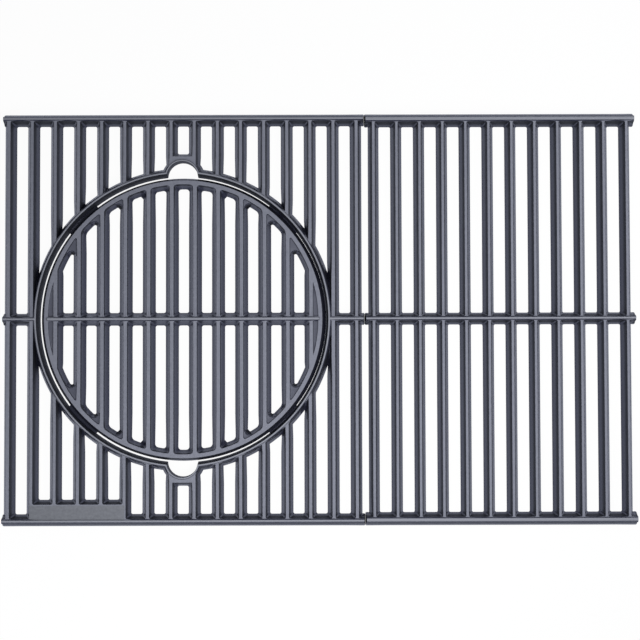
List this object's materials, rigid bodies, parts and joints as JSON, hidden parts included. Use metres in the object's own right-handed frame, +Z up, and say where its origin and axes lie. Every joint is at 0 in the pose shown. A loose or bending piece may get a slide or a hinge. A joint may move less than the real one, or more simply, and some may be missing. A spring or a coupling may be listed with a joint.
{
  "type": "grill grate",
  "caption": "Cast-iron cooking grate in halves, with tapered bars, cross rails and a round lift-out insert in a notched ring.",
  "frame": {"origin": "under the middle of the whole set, in the plane of its flat underside", "axes": "+X along the cross rails from the notched grate to the plain one, +Y along the bars to the back, +Z up out of the cooking surface"},
  "size_m": [0.6438, 0.42, 0.016],
  "materials": {
    "enamelled_iron": "matt black enamel over rough cast iron, paler along the worn upper edges"
  },
  "bodies": {
    "root": {"left_grate": "enamelled_iron", "right_grate": "enamelled_iron", "round_insert": "enamelled_iron"}
  },
  "joints": []
}
